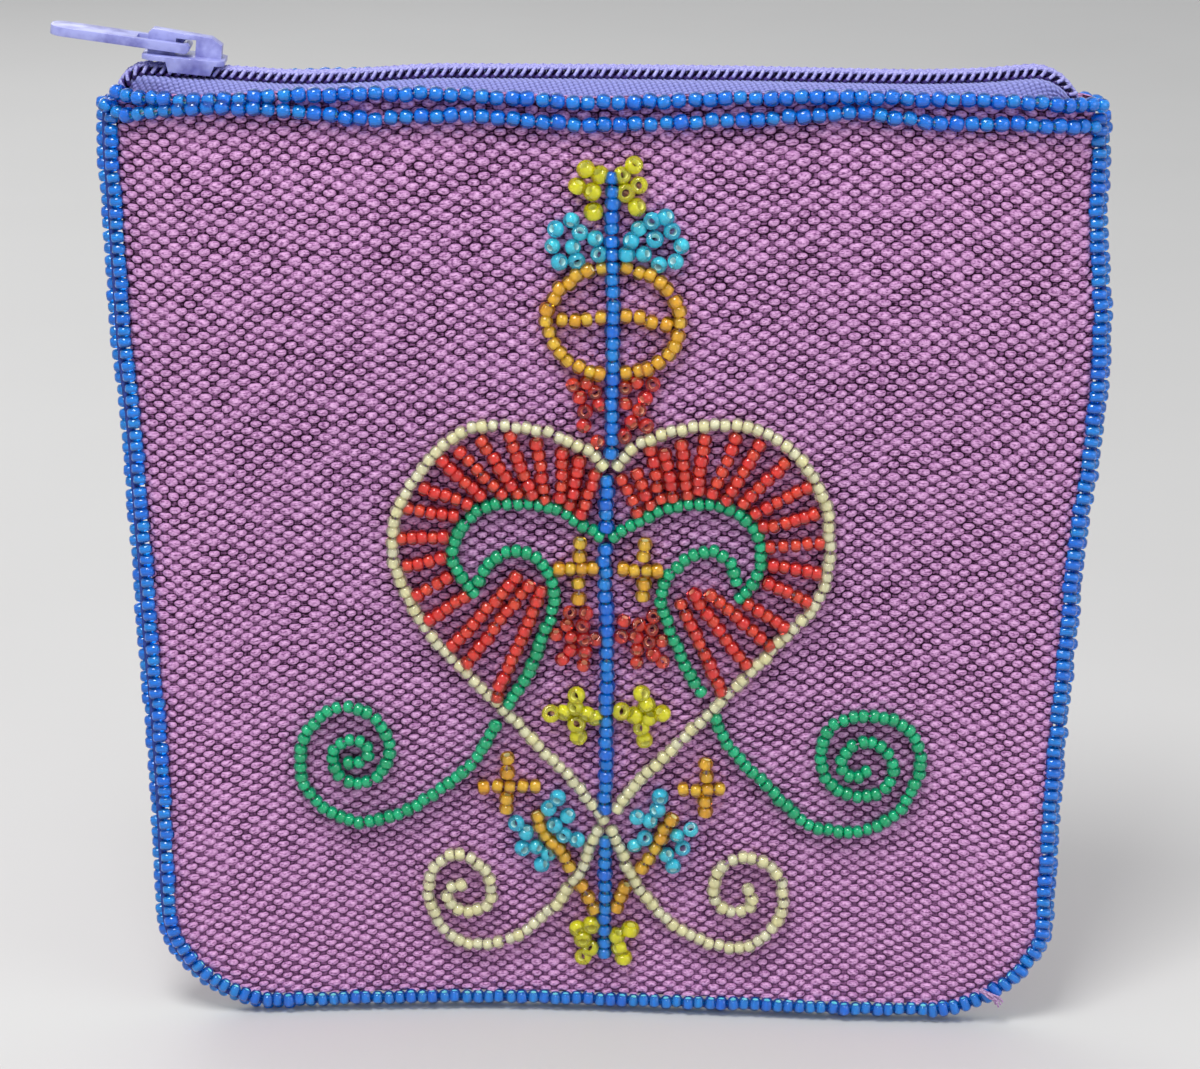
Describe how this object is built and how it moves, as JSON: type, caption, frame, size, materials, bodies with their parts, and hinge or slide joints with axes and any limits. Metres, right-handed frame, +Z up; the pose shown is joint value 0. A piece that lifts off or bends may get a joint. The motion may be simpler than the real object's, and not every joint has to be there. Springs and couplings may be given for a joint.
{
  "type": "beaded wallet",
  "caption": "Small upright zip pouch of woven canvas, edged with strings of glass seed beads and beaded on its front with a heart and scrolls.",
  "frame": {"origin": "middle of the front bead string of the bottom edge, on the surface that the pouch stands on", "axes": "+Z up, front towards -Y, +X to the right seen from the front"},
  "size_m": [0.1269, 0.0203, 0.1259],
  "materials": {
    "canvas": "coarse plain-woven mauve canvas",
    "blue_glass": "glossy glass seed beads with a coloured lining",
    "cream_glass": "glossy glass seed beads with a coloured lining",
    "green_glass": "glossy glass seed beads with a coloured lining",
    "red_glass": "glossy glass seed beads with a coloured lining",
    "amber_glass": "glossy glass seed beads with a coloured lining",
    "yellow_glass": "glossy glass seed beads with a coloured lining",
    "turquoise_glass": "glossy glass seed beads with a coloured lining",
    "zip_tape": "knitted lavender-blue zip tape",
    "zip_coil": "nylon coil, dark violet",
    "slider_metal": "lavender paint on cast metal"
  },
  "bodies": {
    "pouch": {"amber_cross_beads_left": "amber_glass", "amber_cross_beads_right": "amber_glass", "arch_beads_left": "green_glass", "arch_beads_right": "green_glass", "back_panel": "canvas", "curl_beads_left": "green_glass", "curl_beads_right": "green_glass", "edge_beads_back_bottom": "blue_glass", "edge_beads_back_left": "blue_glass", "edge_beads_back_right": "blue_glass", "edge_beads_front_bottom": "blue_glass", "edge_beads_front_left": "blue_glass", "edge_beads_front_right": "blue_glass", "flower_beads_left": "turquoise_glass", "flower_beads_right": "turquoise_glass", "foot_bud_beads_left": "yellow_glass", "foot_bud_beads_right": "yellow_glass", "front_panel": "canvas", "heart_beads_left": "cream_glass", "heart_beads_right": "cream_glass", "hem_beads_back_lower": "blue_glass", "hem_beads_back_upper": "blue_glass", "hem_beads_front_lower": "blue_glass", "hem_beads_front_upper": "blue_glass", "hook_beads_left": "green_glass", "hook_beads_right": "green_glass", "low_cross_beads_left": "amber_glass", "low_cross_beads_right": "amber_glass", "red_blossom_beads_left": "red_glass", "red_blossom_beads_right": "red_glass", "red_bud_beads_left": "red_glass", "red_bud_beads_right": "red_glass", "ring_beads_left": "amber_glass", "ring_beads_right": "amber_glass", "spine_beads_1": "blue_glass", "spine_beads_2": "blue_glass", "spine_beads_3": "blue_glass", "spine_beads_4": "blue_glass", "tail_beads_left": "cream_glass", "turquoise_bud_beads_left": "turquoise_glass", "turquoise_bud_beads_right": "turquoise_glass", "yellow_bud_beads_left": "yellow_glass", "yellow_bud_beads_right": "yellow_glass", "yellow_cross_beads_left": "yellow_glass", "yellow_cross_beads_right": "yellow_glass", "zip_coil_back": "zip_coil", "zip_coil_front": "zip_coil", "zip_tape_back": "zip_tape", "zip_tape_front": "zip_tape"},
    "zip_slider": {"slider": "slider_metal"},
    "zip_pull": {"slider_pull": "slider_metal"}
  },
  "joints": [
    {"name": "zip_slide", "type": "slide", "parent": "pouch", "child": "zip_slider", "axis": [1, 0, 0], "range_m": [0, 0.097]},
    {"name": "pull_hinge", "type": "hinge", "parent": "zip_slider", "child": "zip_pull", "pos_m": [-0.05066, 0.0012, 0.12321], "axis": [0, 1, 0], "range_deg": [0, 150]}
  ]
}
